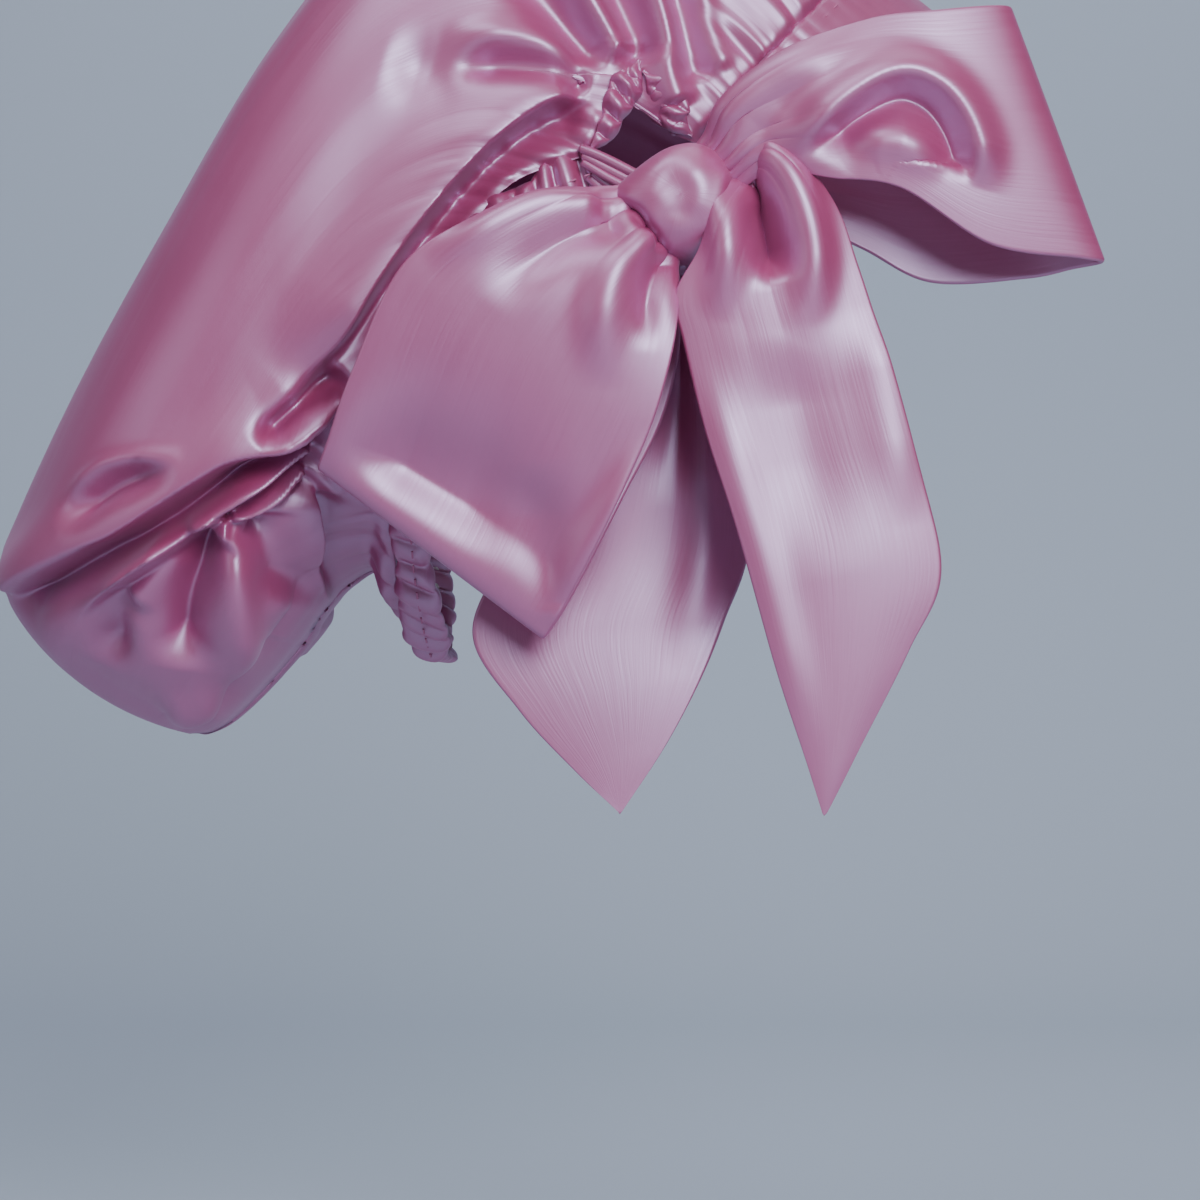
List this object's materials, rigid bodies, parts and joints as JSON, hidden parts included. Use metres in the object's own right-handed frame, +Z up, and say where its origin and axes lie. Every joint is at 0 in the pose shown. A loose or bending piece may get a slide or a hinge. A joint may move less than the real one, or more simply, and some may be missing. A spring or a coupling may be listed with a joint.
{
  "type": "satin bonnet with side bow",
  "caption": "Slouchy gathered satin bonnet with a plain band over the forehead, an elasticated nape, and its ties knotted in a bow at one temple.",
  "frame": {"origin": "centre of the head opening, where the middle of the wearer's head sits", "axes": "+X the way the wearer faces, +Y the wearer's left, +Z up, for a level head"},
  "size_m": [0.3235, 0.2101, 0.2937],
  "materials": {
    "satin": "pink duchess-weight satin, soft sheen on the outside",
    "thread": "matching sewing thread",
    "elastic": "white braided elastic, hidden in the casing"
  },
  "bodies": {
    "bonnet": {"bag": "satin", "front_band": "satin", "band_stitches": "thread", "nape_casing": "satin", "casing_stitches": "thread", "nape_elastic": "elastic", "elastic_tacks": "thread", "knot_wrap": "satin", "knot_core": "satin", "tie_front": "satin", "tie_back": "satin"},
    "loop_front": {"loop_front": "satin"},
    "loop_back": {"loop_back": "satin"},
    "tail_front": {"tail_front": "satin"},
    "tail_back": {"tail_back": "satin"}
  },
  "joints": [
    {"name": "loop_front_swing", "type": "hinge", "parent": "bonnet", "child": "loop_front", "pos_m": [0.0035, -0.101, 0.0245], "axis": [0, 0, -1], "range_deg": [0, 30]},
    {"name": "loop_back_lift", "type": "hinge", "parent": "bonnet", "child": "loop_back", "pos_m": [0.0035, -0.101, 0.0245], "axis": [-0.8235, 0, 0.5673], "range_deg": [0, 30]},
    {"name": "tail_front_lift", "type": "hinge", "parent": "bonnet", "child": "tail_front", "pos_m": [0.0035, -0.101, 0.0245], "axis": [-1, 0, 0], "range_deg": [0, 42]},
    {"name": "tail_back_swing", "type": "hinge", "parent": "bonnet", "child": "tail_back", "pos_m": [0.0035, -0.101, 0.0245], "axis": [0, 1, 0], "range_deg": [-8, 12]}
  ]
}
